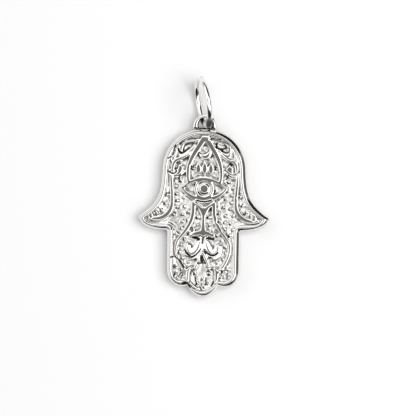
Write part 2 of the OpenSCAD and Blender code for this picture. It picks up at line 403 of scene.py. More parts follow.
def blank_mesh():
    """Dish with a rim: rings of points over the section, a net inside, and a flat back."""
    rings = [np.column_stack((outline(s), np.full(around, z * hand_t))) for s, z in section]
    last = rings[-1][:, :2]
    net = net_points(last)
    flat = [Vector(p) for p in np.concatenate((last, net)).tolist()]
    edges = [(i, (i + 1) % around) for i in range(around)]
    made, _, faces, *_ = delaunay_2d_cdt(flat, edges, [], 1, merge_under)
    assert len(made) == len(flat)
    first = (len(rings) - 1) * around
    net_z = np.full(len(net), section[-1][1] * hand_t)
    points = np.concatenate((*rings, np.column_stack((net, net_z))))
    back = tuple(range(around))
    inner = [tuple(first + v for v in face) for face in faces]
    mesh = bpy.data.meshes.new("blank")
    mesh.from_pydata(points.tolist(), [], [back] + ring_quads(len(rings), around) + inner)
    opened = np.ones(len(points), np.float32)
    opened[: len(rings) * around] = np.repeat(section[:, 0] > relief_from, around)
    mesh.attributes.new("open", "FLOAT", "POINT").data.foreach_set("value", opened)
    shell = bmesh.new()
    shell.from_mesh(mesh)
    bmesh.ops.recalc_face_normals(shell, faces=shell.faces)
    shell.to_mesh(mesh)
    shell.free()
    return mesh


def triangles(mesh):
    return sum(len(p.vertices) - 2 for p in mesh.polygons)


blank = blank_mesh()
print("blank", len(blank.vertices), "points", triangles(blank), "triangles")

# %% [markdown]
# ## The drawing of the relief
# The maker carves the scrolls as strokes: each has a path, and a width that swells and thins along
# it. They are kept as guides, thin lines with the half width, the lift and the roundness of the
# stroke at each point. A mesh of such lines is easy to read for a node tree, and it draws nothing
# by itself.

# %% Strokes of the right half
relief_h, ridge_w = 0.5, 0.3
relief_turn = 0.8
guide_step = 0.05

# start, handle, handle, end in shares, then the width at start, middle and end in ridge_w,
# the lift as a share of relief_h and the roundness of the top
RIDGES = (
    (0.020, 0.950, 0.110, 0.875, 0.300, 0.815, 0.248, 0.690, 2.3, 1.8, 1.1, 1.0, 0.012),
    (0.060, 0.938, 0.200, 0.922, 0.400, 0.950, 0.375, 0.850, 0.8, 0.9, 1.1, 0.9, 0.015),
    (0.170, 0.900, 0.190, 0.870, 0.290, 0.850, 0.372, 0.843, 0.7, 1.9, 1.2, 0.9, 0.15),
    (0.250, 0.852, 0.360, 0.812, 0.485, 0.830, 0.495, 0.765, 0.6, 1.2, 1.0, 1.0, 0.015),
    (0.495, 0.765, 0.505, 0.722, 0.390, 0.715, 0.385, 0.764, 1.0, 1.1, 2.6, 1.0, 0.015),
    (0.320, 0.748, 0.390, 0.708, 0.490, 0.698, 0.560, 0.752, 0.6, 0.9, 0.7, 0.8, 0.015),
    (0.405, 0.898, 0.430, 0.885, 0.455, 0.872, 0.468, 0.850, 0.4, 1.5, 0.4, 0.8, 0.015),
    (0.455, 0.855, 0.480, 0.845, 0.500, 0.830, 0.510, 0.808, 0.4, 1.5, 0.4, 0.8, 0.015),
    (0.522, 0.735, 0.505, 0.680, 0.490, 0.620, 0.490, 0.560, 0.9, 1.2, 1.3, 1.0, 0.012),
    (0.490, 0.560, 0.490, 0.485, 0.650, 0.445, 0.835, 0.462, 1.3, 1.7, 0.8, 1.0, 0.012),
    (0.160, 0.558, 0.145, 0.460, 0.220, 0.415, 0.385, 0.337, 1.4, 1.5, 1.0, 1.0, 0.012),
    (0.385, 0.337, 0.455, 0.290, 0.400, 0.215, 0.250, 0.148, 1.0, 0.9, 1.0, 1.0, 0.012),
    (0.160, 0.558, 0.110, 0.550, 0.050, 0.535, 0.004, 0.500, 0.9, 1.1, 2.2, 1.0, 0.012),
    (0.045, 0.352, 0.050, 0.270, 0.190, 0.205, 0.240, 0.298, 1.2, 4.4, 2.6, 1.0, 0.28),
    (0.004, 0.258, 0.040, 0.232, 0.075, 0.205, 0.108, 0.170, 1.0, 0.9, 0.8, 1.0, 0.015),
    (0.185, 0.168, 0.232, 0.166, 0.225, 0.120, 0.222, 0.085, 0.6, 1.2, 0.9, 1.0, 0.012),
)
MIDDLE = (
    (0, 0.520, 0, 0.480, 0, 0.430, 0, 0.378, 2.0, 1.3, 2.6, 1.0, 0.012),
    (-0.155, 0.368, -0.060, 0.386, 0.060, 0.386, 0.155, 0.368, 1.4, 1.9, 1.4, 1.0, 0.012),
)


def askew(points, way=1):
    """The relief is turned a little on the plate. Way -1 turns back."""
    angle = math.radians(-relief_turn * way)
    c, s = math.cos(angle), math.sin(angle)
    return points @ np.array(((c, s), (-s, c)))


def path_ends(row):
    """Start, both handles and end of a row's curve."""
    return [at(*row[k : k + 2]) for k in (0, 2, 4, 6)]


def stroke(row):
    """A stroke as its points, their half widths, its lift and its roundness."""
    a, b, c, d = path_ends(row)
    length = np.linalg.norm(b - a) + np.linalg.norm(c - b) + np.linalg.norm(d - c)
    t = np.linspace(0, 1, max(4, math.ceil(length / guide_step)))
    first, mid, last = row[8:11]
    swell = (1 - t) ** 2 * first + 2 * t * (1 - t) * (2 * mid - (first + last) / 2) + t * t * last
    return bezier(a, b, c, d, t), ridge_w * swell / 2, row[11], row[12]


def mirrored(drawn):
    points, half, lift, crown = drawn
    return points * (-1, 1), half, lift, crown


strokes = []
for row in RIDGES:
    strokes += [stroke(row), mirrored(stroke(row))]
strokes += [stroke(row) for row in MIDDLE]
print("carved strokes", len(strokes))

# %% Strokes of the eye, the crescent and the petals
eye_l, iris_d, pupil_d = 6.0, 2.6, 1.10
eye_y, lid_top, lid_low = 0.145 * hand_h, 0.235 * eye_l, 0.27 * eye_l
iris_band = 0.75 * ridge_w
ball_d = 0.81 * iris_d
moon_d, moon_y = 1.6, 0.358 * hand_h
moon_inner, moon_bite = 0.92 * moon_d, 0.40 * moon_d
petal_w = 2.2 * ridge_w
iris_steps, moon_steps, petal_steps = 180, 80, 40
# Half width that is left where a stroke runs out to a point, and half length of a dot
thinnest, dot_half = 0.02, 0.01
# Roundness of a flat top, an eased one, the pupil, the crescent and the eyeball
flat_top, eased_top, pupil_top, moon_top, ball_top = 0.012, 0.015, 0.02, 0.08, 0.5
# Rise of a lid's middle, then its width at the corners and in the middle in ridge_w
LIDS = ((lid_top - 0.25 * ridge_w, 0.7, 1.5), (0.5 * ridge_w - lid_low, 0.8, 2.0))
# Place of each petal in shares, then its height in ridge_w
PETALS = ((-0.097, 0.768, 4.8), (0, 0.771, 5.4), (0.097, 0.768, 4.8))
# Place along a petal from its tip down, and the half width there as a share of petal_w
PETAL = ((0.5, 0), (0.2, 0.35), (-0.15, 0.5), (-0.4, 0.35), (-0.5, 0))


def lid(rise, corner_w, middle_w):
    """One lid: an arc through the eye's corners, widest in its middle."""
    half = eye_l / 2
    radius = (half * half + rise * rise) / (2 * abs(rise))
    x = np.linspace(-half, half, math.ceil(eye_l / guide_step))
    y = math.copysign(1, rise) * (np.sqrt(radius**2 - x * x) - (radius - abs(rise)))
    swell = corner_w + (middle_w - corner_w) * np.cos(x / half * math.pi / 2)
    return np.column_stack((x, y + eye_y)), ridge_w * swell / 2, 1.0, flat_top


def iris():
    angle = np.linspace(0, 2 * math.pi, iris_steps)
    radius = (iris_d - iris_band) / 2
    points = np.column_stack((radius * np.cos(angle), radius * np.sin(angle) + eye_y))
    return points, np.full(len(angle), iris_band / 2), 1.0, eased_top


def eye_dot(width, top):
    """A round dome in the eye's middle: a stroke that is hardly longer than a point."""
    return np.array(((-dot_half, eye_y), (dot_half, eye_y))), np.full(2, width / 2), 1.0, top


def crescent():
    """Between two circles: the inner one is moved up and bites the outer one open."""
    horn = math.acos(
        (moon_d**2 / 4 + moon_bite**2 - moon_inner**2 / 4) / (moon_d * moon_bite)
    )
    angle = np.linspace(math.pi / 2 + horn, 5 * math.pi / 2 - horn, moon_steps)
    outer = moon_d / 2
    inner = moon_bite * np.sin(angle) + np.sqrt(
        moon_inner**2 / 4 - (moon_bite * np.cos(angle)) ** 2
    )
    mid = (outer + inner) / 2
    points = np.column_stack((mid * np.cos(angle), mid * np.sin(angle) + moon_y))
    return points, np.maximum((outer - inner) / 2, thinnest), 1.0, moon_top


def petal(x, y, height):
    """An upright drop, widest a little under its middle."""
    along, half = np.array(PETAL).T
    fine = np.linspace(0.5, -0.5, petal_steps)
    width = np.interp(-fine, -along, half) * petal_w
    middle_x, middle_y = at(x, y)
    rows = middle_y + fine * height * ridge_w
    points = np.column_stack((np.full(petal_steps, middle_x), rows))
    return points, np.maximum(width, thinnest), 1.0, eased_top


strokes += [lid(*row) for row in LIDS]
strokes += [iris(), eye_dot(pupil_d, pupil_top), eye_dot(ball_d, ball_top), crescent()]
strokes += [petal(*row) for row in PETALS]
print("with eye, crescent and petals", len(strokes))

# %% Fillet along the rim's foot
fillet_every, fillet_lift = 4, 0.55


def rim_fillet():
    """The fillet where the plate meets the rim, turned back because the relief is turned."""
    loop = outline(1.0)[::fillet_every]
    loop = askew(np.concatenate((loop, loop[:1])), -1)
    return loop, np.full(len(loop), thinnest), fillet_lift, 0.0


strokes.append(rim_fillet())
print("all strokes", len(strokes))

# %% [markdown]
# ## Beads, pits and grooves
# The ground between the scrolls is set with tiny beads. A graver clears the metal beside each one
# and leaves a notch on its left, where the bead's shade is painted near black. Pits and grooves are
# sunk by a given depth, some not at all, and their blackness is painted shade, as is the dark of
# the crease inside the rim. They differ from side to side, so they are drawn one by one, while
# strokes and beads are mirrored. All of them are helper objects of bare lines and points that carry
# their sizes, as the strokes are.

# %% Places of the beads
# x and y of a row's first and last bead in shares, and its count
BEAD_ROWS = (
    (0.560, 0.602, 0.598, 0.552, 2),
    (0.655, 0.512, 0.795, 0.478, 3),
    (0.372, 0.690, 0.432, 0.655, 2),
    (0.417, 0.610, 0.403, 0.530, 3),
    (0.322, 0.590, 0.298, 0.537, 2),
    (0.240, 0.502, 0.250, 0.460, 2),
    (0.328, 0.488, 0.335, 0.408, 3),
    (0.455, 0.488, 0.410, 0.445, 2),
    (0.455, 0.407, 0.412, 0.372, 2),
    (0.088, 0.475, 0.095, 0.430, 2),
    (0.150, 0.402, 0.282, 0.338, 3),
    (0.332, 0.304, 0.352, 0.264, 2),
    (0.312, 0.229, 0.222, 0.206, 2),
    (0.318, 0.160, 0.400, 0.167, 2),
    (0.298, 0.119, 0.402, 0.121, 2),
    (0.185, 0.770, 0.185, 0.770, 1),
    (0.112, 0.136, 0.075, 0.079, 2),
)
MIDDLE_BEADS = (0.108, 0.050)
bead_small, bead_large, bead_seed = 0.78, 1.12, 3


def bead_spots():
    spots = [at(0, y) for y in MIDDLE_BEADS]
    for x0, y0, x1, y1, count in BEAD_ROWS:
        for i in range(count):
            t = i / max(count - 1, 1)
            p = at(x0 + t * (x1 - x0), y0 + t * (y1 - y0))
            spots += [p, p * (-1, 1)]
    return askew(np.array(spots))


def helper_object(name, lines, values):
    """Lines of points in the plane, with some numbers on every point."""
    edges, first = [], 0
    for line in lines:
        edges += [(first + k, first + k + 1) for k in range(len(line) - 1)]
        first += len(line)
    mesh = bpy.data.meshes.new(name)
    mesh.from_pydata([(*p, 0.0) for line in lines for p in line], edges, [])
    for label, numbers in values.items():
        kind = "INT" if numbers.dtype.kind == "i" else "FLOAT"
        mesh.attributes.new(label, kind, "POINT").data.foreach_set("value", numbers.tolist())
    made = bpy.data.objects.new(name, mesh)
    bpy.context.scene.collection.objects.link(made)
    return made


bead_at = bead_spots()
bead_size = np.random.default_rng(bead_seed).uniform(bead_small, bead_large, len(bead_at))
bead_places = helper_object("bead_places", bead_at[:, None], {"size": bead_size})
print("beads", len(bead_at))

# %% Guides of the strokes
counts = [len(points) for points, *_ in strokes]
guides = helper_object(
    "guides",
    [askew(points) for points, *_ in strokes],
    {
        "half": np.concatenate([half for _, half, _, _ in strokes]),
        "lift": np.repeat([lift for _, _, lift, _ in strokes], counts),
        "crown": np.repeat([crown for *_, crown in strokes], counts),
        "which": np.repeat(np.arange(len(strokes)), counts),
    },
)
print("guide points", sum(counts))

# %% Pits, grooves and notches
# Straight marks: start and end in shares, then half width, depth and blackness of painted shade
PITS = (
    (0.340, 0.687, 0.379, 0.681, 0.10, 0.08, 0.80),
    (-0.212, 0.778, -0.173, 0.770, 0.10, 0.10, 0.90),
    (0.157, 0.780, 0.188, 0.772, 0.10, 0.10, 0.90),
    (-0.342, 0.648, -0.281, 0.658, 0.10, 0.00, 0.60),
    (-0.165, 0.352, -0.065, 0.343, 0.15, 0.30, 1.00),
    (0.055, 0.349, 0.150, 0.343, 0.13, 0.30, 1.00),
    (-0.013, 0.345, -0.013, 0.318, 0.07, 0.20, 1.00),
    (-0.250, 0.322, -0.279, 0.289, 0.20, 0.00, 0.33),
    (0.240, 0.317, 0.221, 0.289, 0.26, 0.00, 0.33),
    (-0.276, 0.239, -0.215, 0.237, 0.11, 0.04, 0.60),
    (0.094, 0.232, 0.132, 0.232, 0.11, 0.10, 1.00),
    (-0.017, 0.236, -0.013, 0.205, 0.17, 0.40, 1.00),
    (-0.075, 0.199, 0.050, 0.200, 0.08, 0.20, 1.00),
    (-0.434, 0.183, -0.433, 0.168, 0.16, 0.10, 0.85),
    (-0.424, 0.147, -0.430, 0.114, 0.08, 0.06, 0.85),
    (-0.224, 0.144, -0.224, 0.102, 0.08, 0.06, 0.60),
    (-0.155, 0.148, -0.115, 0.130, 0.08, 0.06, 0.80),
    (-0.019, 0.078, -0.011, 0.063, 0.09, 0.04, 0.55),
    (-0.041, 0.057, -0.001, 0.042, 0.09, 0.05, 0.85),
    (0.059, 0.175, 0.113, 0.175, 0.10, 0.05, 0.50),
    (0.061, 0.150, 0.105, 0.152, 0.09, 0.06, 0.80),
    (0.069, 0.133, 0.116, 0.132, 0.07, 0.05, 0.80),
    (0.159, 0.173, 0.164, 0.095, 0.17, 0.03, 0.35),
    (0.252, 0.159, 0.422, 0.161, 0.06, 0.05, 0.70),
    (0.277, 0.133, 0.314, 0.154, 0.08, 0.05, 0.70),
    (0.366, 0.128, 0.390, 0.143, 0.10, 0.05, 0.60),
    (0.172, 0.092, 0.143, 0.065, 0.13, 0.00, 1.00),
)
# Curved marks: start, handle, handle and end in shares, then half width, depth and blackness of
# painted shade
GROOVES = (
    (-0.444, 0.901, -0.495, 0.865, -0.455, 0.847, -0.554, 0.822, 0.11, 0.10, 0.85),
    (-0.419, 0.877, -0.370, 0.830, -0.333, 0.867, -0.250, 0.886, 0.14, 0.15, 1.00),
    (-0.390, 0.908, -0.338, 0.938, -0.245, 0.928, -0.146, 0.938, 0.06, 0.04, 0.60),
    (-0.227, 0.889, -0.215, 0.905, -0.190, 0.915, -0.168, 0.923, 0.06, 0.04, 0.70),
    (-0.442, 0.760, -0.388, 0.764, -0.444, 0.787, -0.382, 0.791, 0.10, 0.05, 0.80),
    (-0.564, 0.750, -0.525, 0.732, -0.478, 0.721, -0.433, 0.746, 0.11, 0.08, 0.80),
    (-0.370, 0.723, -0.400, 0.704, -0.430, 0.692, -0.360, 0.681, 0.08, 0.06, 0.75),
    (0.164, 0.915, 0.173, 0.891, 0.205, 0.877, 0.304, 0.890, 0.11, 0.12, 1.00),
    (0.251, 0.880, 0.282, 0.863, 0.329, 0.857, 0.359, 0.870, 0.13, 0.08, 0.60),
    (0.267, 0.860, 0.331, 0.833, 0.378, 0.822, 0.424, 0.823, 0.07, 0.05, 0.60),
    (0.350, 0.780, 0.356, 0.795, 0.394, 0.801, 0.411, 0.787, 0.10, 0.05, 0.85),
    (0.320, 0.756, 0.399, 0.733, 0.462, 0.715, 0.528, 0.758, 0.08, 0.06, 0.75),
    (0.361, 0.726, 0.350, 0.715, 0.340, 0.710, 0.324, 0.705, 0.10, 0.08, 0.80),
    (0.061, 0.943, 0.170, 0.929, 0.277, 0.936, 0.356, 0.910, 0.08, 0.06, 0.80),
    (0.356, 0.910, 0.378, 0.885, 0.376, 0.870, 0.365, 0.855, 0.06, 0.04, 0.60),
    (-0.087, 0.858, -0.040, 0.847, 0.006, 0.853, 0.051, 0.872, 0.09, 0.06, 0.70),
    (-0.114, 0.576, -0.036, 0.562, 0.025, 0.566, 0.117, 0.579, 0.09, 0.08, 0.80),
    (-0.279, 0.275, -0.254, 0.257, -0.231, 0.252, -0.199, 0.240, 0.13, 0.20, 1.00),
    (-0.215, 0.237, -0.152, 0.223, -0.092, 0.253, -0.033, 0.287, 0.07, 0.08, 0.85),
    (0.029, 0.276, 0.093, 0.244, 0.170, 0.236, 0.230, 0.264, 0.11, 0.15, 0.95),
    (-0.483, 0.230, -0.415, 0.240, -0.336, 0.214, -0.287, 0.170, 0.10, 0.02, 0.95),
    (-0.361, 0.121, -0.331, 0.143, -0.316, 0.143, -0.299, 0.122, 0.10, 0.06, 0.65),
    (-0.248, 0.162, -0.218, 0.174, -0.195, 0.180, -0.157, 0.184, 0.10, 0.05, 0.50),
    (-0.114, 0.115, -0.113, 0.098, -0.104, 0.086, -0.080, 0.071, 0.09, 0.06, 0.85),
    (0.052, 0.112, 0.049, 0.094, 0.050, 0.082, 0.081, 0.070, 0.09, 0.06, 0.90),
    (-0.281, 0.077, -0.236, 0.090, -0.204, 0.078, -0.172, 0.058, 0.17, 0.00, 1.00),
)
# The notch beside each bead, where its shade is painted: place from the bead's centre, half width and
# depth
NOTCH = ((-0.13, 0.17, 0.05, 0.06), (-0.22, -0.02, 0.08, 0.12), (-0.22, -0.20, 0.13, 0.20))
# How black the shade painted in a notch is, and how far a notch turns at random
notch_shade_black, notch_turn = 0.85, 0.35
# Half width, depth and painted shade of the crease inside the rim
crease_half, crease_depth, crease_shade_black = 0.07, 0.04, 0.28
# How much fainter or stronger a notch's painted shade is, and the seed
notch_faint, notch_strong, notch_seed = 0.5, 1.1, 5
crease_at, groove_steps = 1.02, 32


def mark_lines(beads):
    """Lines of rows along all marks: x, y, half width, depth and blackness of painted shade."""
    crease = outline(crease_at)
    # The crease inside the rim, sunk a little and painted dark as shade
    lines = [[(*p, crease_half, crease_depth, crease_shade_black) for p in (*crease, crease[0])]]
    for x0, y0, x1, y1, *kind in PITS:
        start, end = at(x0, y0), at(x1, y1)
        steps = 1 + math.ceil(np.linalg.norm(end - start) / guide_step)
        lines.append([(*p, *kind) for p in askew(np.linspace(start, end, steps + 1))])
    for row in GROOVES:
        path = askew(bezier(*path_ends(row), np.linspace(0, 1, groove_steps)))
        lines.append([(*p, *row[8:]) for p in path])
    chance = np.random.default_rng(notch_seed)
    for bead in beads:
        turn = notch_turn * chance.uniform(-1, 1)
        c, s = math.cos(turn), math.sin(turn)
        # The notch's painted shade, fainter or stronger at random
        black = notch_shade_black * chance.uniform(notch_faint, notch_strong)
        notch = [
            (bead.x + c * x - s * y, bead.y + s * x + c * y, half, depth, black)
            for x, y, half, depth in NOTCH
        ]
        lines.append(notch)
    return [np.array(line) for line in lines]


marks = mark_lines([v.co for v in bead_places.data.vertices])
mark_rows = np.concatenate(marks)
# The marks carry their depth and, as black, their painted shade
pits = helper_object(
    "pits",
    [line[:, :2] for line in marks],
    {name: mark_rows[:, 2 + k] for k, name in enumerate(("half", "depth", "black"))},
)
print("marks", len(marks))

# %% [markdown]
# ## Raising the relief
# The relief follows one rule: a point of the ground rises by how near it is to a stroke or a bead.
# A node tree can say that once for the whole face. A repeat zone goes through the strokes: it
# measures the distance to the stroke, reads the stroke's half width at the nearest guide point and
# keeps the greatest rise. Beads are little domes, no two quite the same size. Pits and grooves sink
# by the same rule, and noise gives the ground the slight lumps of a casting. A blur rounds every
# edge as tumbling and buffing do. The tree also writes satin, hollow and the painted shade of the
# marks for the silver.

# %% Named inputs of the relief's tree
RELIEF_INPUTS = (
    ("Blank", "Geometry", None),
    ("Guides", "Object", None),
    ("Bead places", "Object", None),
    ("Pits", "Object", None),
    ("Material", "Material", None),
    ("Ground", "Float", ground_t),
    ("Relief height", "Float", relief_h),
    ("Swell", "Float", 0.04),
    ("Side slope", "Float", 0.16),
    ("Fillet", "Float", 0.42),
    ("Fillet share", "Float", 0.36),
    ("Stroke blend", "Float", 0.03),
    ("Rim blend", "Float", 0.05),
    ("Bead diameter", "Float", 0.60),
    ("Bead rise", "Float", 0.27),
    ("Unevenness", "Float", 0.42),
    ("Lump scale", "Float", 2.6),
    ("Waviness", "Float", 0.16),
    ("Wave scale", "Float", 0.4),
    ("Softening", "Int", 1),
    ("Crevice depth", "Float", 0.10),
    ("Crevice reach", "Int", 10),
)


def new_tree(name, inputs, output):
    """A geometry tree with these inputs, and its Group Input as a term."""
    tree = bpy.data.node_groups.new(name, "GeometryNodeTree")
    for label, kind, value in inputs:
        made = tree.interface.new_socket(
            label, in_out="INPUT", socket_type="NodeSocket" + kind
        )
        if value is not None:
            made.default_value = value
    tree.interface.new_socket(output, in_out="OUTPUT", socket_type="NodeSocketGeometry")
    return tree, Term(tree).node("NodeGroupInput")


def give_out(given, geometry):
    """The end of a tree: instances made real, the material set, the geometry given out."""
    solid = given.node("GeometryNodeRealizeInstances", {}, {0: geometry})
    done = given.node(
        "GeometryNodeSetMaterial", {}, {"Geometry": solid, "Material": given.out("Material")}
    )
    end = given.tree.nodes.new("NodeGroupOutput")
    given.tree.links.new(done.socket, end.inputs[0])


print("inputs of the relief", len(RELIEF_INPUTS))


# %% Numbers on points
def named(term, name, kind="FLOAT"):
    """The number that each point carries under this name."""
    return term.node("GeometryNodeInputNamedAttribute", {"data_type": kind}, {"Name": name})


def store(geometry, name, value):
    """The geometry with a number on each point."""
    return geometry.node(
        "GeometryNodeStoreNamedAttribute",
        {"data_type": "FLOAT", "domain": "POINT"},
        {"Geometry": geometry, "Name": name, "Value": value},
    )


def blurred(value, times):
    """The number spread to the neighbouring points so many times."""
    return value.node(
        "GeometryNodeBlurAttribute", {"data_type": "FLOAT"}, {"Value": value, "Iterations": times}
    )


def near(lines, flat, element):
    """Distance to the lines or points, and a function that reads their nearest point."""
    asked = {"Sample Position": flat}
    away = lines.node(
        "GeometryNodeProximity", {"target_element": element}, {0: lines, **asked}
    ).out("Distance")
    index = lines.node("GeometryNodeSampleNearest", {}, {"Geometry": lines, **asked})

    def read(name):
        return lines.node(
            "GeometryNodeSampleIndex",
            {"data_type": "FLOAT"},
            {"Geometry": lines, "Value": named(lines, name), "Index": index},
        )

    return away, read


# %% Rise of a stroke and of a bead
def stroke_rise(given, away, read):
    """A flat or rounded top as wide as the stroke, then a steep side that ends in a fillet."""
    half = read("half")
    inside = (away / half).math("MINIMUM", 1.0)
    top = 1.0 - read("crown") * inside.math("POWER", 2.0 - read("crown"))
    beyond = (away - half - given.out("Swell")).math("MAXIMUM", 0.0)
    steep = ((beyond / given.out("Side slope")).squared() * -1.0).math("EXPONENT")
    gentle = (beyond / given.out("Fillet") * -1.0).math("EXPONENT")
    fall = steep + (gentle - steep) * given.out("Fillet share")
    return given.out("Relief height") * read("lift") * top * fall


def lifted(given, lines, flat, count):
    """The blank with the number rise, to which each stroke in turn lifts the points near it."""
    tree = given.tree
    loop_in = tree.nodes.new("GeometryNodeRepeatInput")
    loop_out = tree.nodes.new("GeometryNodeRepeatOutput")
    loop_in.pair_with_output(loop_out)
    loop_in.inputs["Iterations"].default_value = count
    tree.links.new(store(given.out("Blank"), "rise", 0.0).socket, loop_in.inputs["Geometry"])
    mine = given.node(
        "FunctionNodeCompare",
        {"data_type": "INT", "operation": "EQUAL"},
        {"A": named(given, "which", "INT"), "B": Term(tree, loop_in.outputs["Iteration"])},
    )
    line = given.node(
        "GeometryNodeSeparateGeometry",
        {"domain": "POINT"},
        {"Geometry": lines, "Selection": mine},
    )
    risen = stroke_rise(given, *near(line, flat, "EDGES"))
    highest = named(given, "rise").math("SMOOTH_MAX", risen, given.out("Stroke blend"))
    raised = store(Term(tree, loop_in.outputs["Geometry"]), "rise", highest)
    tree.links.new(raised.socket, loop_out.inputs["Geometry"])
    return Term(tree, loop_out.outputs["Geometry"])


def bead_rise(given, away, read):
    """The top of a ball that is sunk into the ground."""
    radius = given.out("Bead diameter") / 2.0 * read("size")
    ball = (radius.squared() - away.squared()).math("MAXIMUM", 0.0).math("SQRT")
    return (ball - radius + given.out("Bead rise")).math("MAXIMUM", 0.0)


# %% The relief's node tree
# Shares of the relief's height between which a stroke loses the ground's lumps and beads
bare_from, bare_to = 0.40, 0.90
# Distances from a bead between which the lumps calm down, and by how much
calm_from, calm_to, calm_share = 0.35, 0.85, 0.80
# Heights over the ground between which the buff begins to reach the metal
buff_from, buff_to = 0.12, 0.30


def relief_tree(count):
    tree, given = new_tree("raise_relief", RELIEF_INPUTS, "Hand")

    def content(which):
        return given.node(
            "GeometryNodeObjectInfo", {"transform_space": "ORIGINAL"}, {"Object": given.out(which)}
        ).out("Geometry")

    place = given.node("GeometryNodeInputPosition")
    axes = given.node("ShaderNodeSeparateXYZ", {}, {0: place})
    x, y, z = (axes.out(axis) for axis in "XYZ")
    flat = given.node("ShaderNodeCombineXYZ", {}, {"X": x, "Y": y})
    carved = lifted(given, content("Guides"), flat, count)
    rise, opened = named(given, "rise"), named(given, "open")
    to_bead, of_bead = near(content("Bead places"), flat, "POINTS")
    dome = bead_rise(given, to_bead, of_bead)
    low = 1.0 - (rise / given.out("Relief height")).ramp(bare_from, bare_to)
    calm = 1.0 - calm_share * to_bead.ramp(calm_from, calm_to)
    lumps = (flat.noise(given.out("Lump scale"), 2.0) - 0.5) * given.out("Unevenness")
    waves = (flat.noise(given.out("Wave scale"), 0.0) - 0.5) * given.out("Waviness")
    to_pit, of_pit = near(content("Pits"), flat, "EDGES")
    sunk = ((to_pit / of_pit("half")).squared() * -1.0).math("EXPONENT")
    relief = rise + (dome + lumps * low * calm) * low - sunk * of_pit("depth")
    high = z.math("SMOOTH_MAX", given.out("Ground") + relief + waves, given.out("Rim blend"))
    standing = (rise + dome).ramp(buff_from, buff_to)
    carved = store(carved, "satin", (1.0 - standing) * opened)
    # Painted shade: the marks' blackness, strongest along their middle
    carved = store(carved, "soot", sunk * of_pit("black"))
    carved = store(carved, "height", blurred(high, given.out("Softening")))
    target = given.node("ShaderNodeCombineXYZ", {}, {"X": x, "Y": y, "Z": named(given, "height")})
    moved = given.node(
        "GeometryNodeSetPosition",
        {},
        {"Geometry": carved, "Selection": opened, "Position": target},
    )
    sunken = blurred(z, given.out("Crevice reach")) - z
    hollow = given.node("ShaderNodeClamp", {}, {0: sunken / given.out("Crevice depth")})
    give_out(given, store(moved, "hollow", hollow * opened))
    return tree


# %% [markdown]
# ## From a live tree to a plain mesh
# The tree is put on an object as a modifier and evaluated once. Its inputs are set by each
# socket's identifier. The result is copied to a plain mesh, because the finished piece must carry
# no live modifier.


# %% Evaluate a tree once
def grown(name, mesh, tree, values):
    """A plain mesh from a node tree on a starting mesh."""
    holder = bpy.data.objects.new(name + "_holder", mesh)
    bpy.context.scene.collection.objects.link(holder)
    modifier = holder.modifiers.new(name, "NODES")
    modifier.node_group = tree
    for item in tree.interface.items_tree:
        if item.in_out == "INPUT" and item.name in values:
            modifier[item.identifier] = values[item.name]
    graph = bpy.context.evaluated_depsgraph_get()
    made = bpy.data.meshes.new_from_object(
        holder.evaluated_get(graph), preserve_all_data_layers=True, depsgraph=graph
    )
    made.name = name
    bpy.data.objects.remove(holder)
    return made


casting = grown(
    "casting",
    blank,
    relief_tree(len(strokes)),
    {"Guides": guides, "Bead places": bead_places, "Pits": pits, "Material": cast_silver},
)
print("casting", len(casting.vertices), "points")

# %% [markdown]
# ## The eyelet and its solder foot
# The eyelet is a flat ring with rounded edges, thinner over its hole than beside it, where years of
# hanging would wear it. It is lofted: at every angle one closed section runs from the hole to the
# outside. Its lower side is flat, where it is soldered to a small foot on top of the rim.

# %% Loft the eyelet
eyelet_d, hole_d, eyelet_top, eyelet_t = 3.26, 1.8, 0.45, 0.6
eyelet_side, foot_h, eyelet_rise, eyelet_seat = 0.1, 0.22, 0.14, 0.2
eyelet_proud = 0.1
eyelet_y = top_y + foot_h + eyelet_rise
eyelet_z = hand_t + eyelet_proud - eyelet_t / 2
hole_y = eyelet_d / 2 - eyelet_top - hole_d / 2
seat_y = -eyelet_rise - eyelet_seat
eyelet_steps, eyelet_sides = 144, 28
eyelet_fullness = 0.75


def eyelet_section(width):
    """Closed section from the hole outwards, a full oval."""
    corners = []
    for k in range(eyelet_sides):
        a = 2 * math.pi * k / eyelet_sides
        across, up = (
            math.copysign(abs(f(a)) ** eyelet_fullness, f(a)) for f in (math.cos, math.sin)
        )
        corners.append((width / 2 * (1 + across), eyelet_t / 2 * up))
    return corners


def eyelet_mesh():
    points = []
    hole_r, outer_r = hole_d / 2, eyelet_d / 2
    for i in range(eyelet_steps):
        angle = 2 * math.pi * i / eyelet_steps
        c, s = math.cos(angle), math.sin(angle)
        reach = -hole_y * s + math.sqrt(outer_r**2 - (hole_y * c) ** 2)
        if s < 0:
            reach = min(reach, (seat_y - hole_y) / s)
        for along, up in eyelet_section(reach - hole_r):
            r = hole_r + along
            points.append((eyelet_side + r * c, eyelet_y + hole_y + r * s, eyelet_z + up))
    mesh = bpy.data.meshes.new("eyelet")
    mesh.from_pydata(points, [], ring_quads(eyelet_steps, eyelet_sides, closed=True))
    return mesh


eyelet = eyelet_mesh()
print("eyelet", len(eyelet.vertices), "points")

# %% Solder foot with eased edges
foot_w, foot_in, foot_drop = 0.9 * eyelet_d, 0.45, 0.35
foot_sink, foot_ease = 0.5, 0.09


def foot_mesh():
    shell = bmesh.new()
    low = (eyelet_side - foot_w / 2, top_y - foot_in, eyelet_z - eyelet_t / 2 - foot_drop)
    size = (foot_w, foot_in + foot_h, eyelet_t + foot_drop - eyelet_proud - foot_sink)
    bmesh.ops.create_cube(shell, size=1.0)
    for v in shell.verts:
        v.co = Vector([low[k] + (v.co[k] + 0.5) * size[k] for k in range(3)])
    bmesh.ops.bevel(
        shell, geom=shell.edges[:], offset=foot_ease, segments=4, profile=0.5, affect="EDGES"
    )
    mesh = bpy.data.meshes.new("foot")
    shell.to_mesh(mesh)
    shell.free()
    return mesh


foot = foot_mesh()
print("foot", len(foot.vertices), "points")
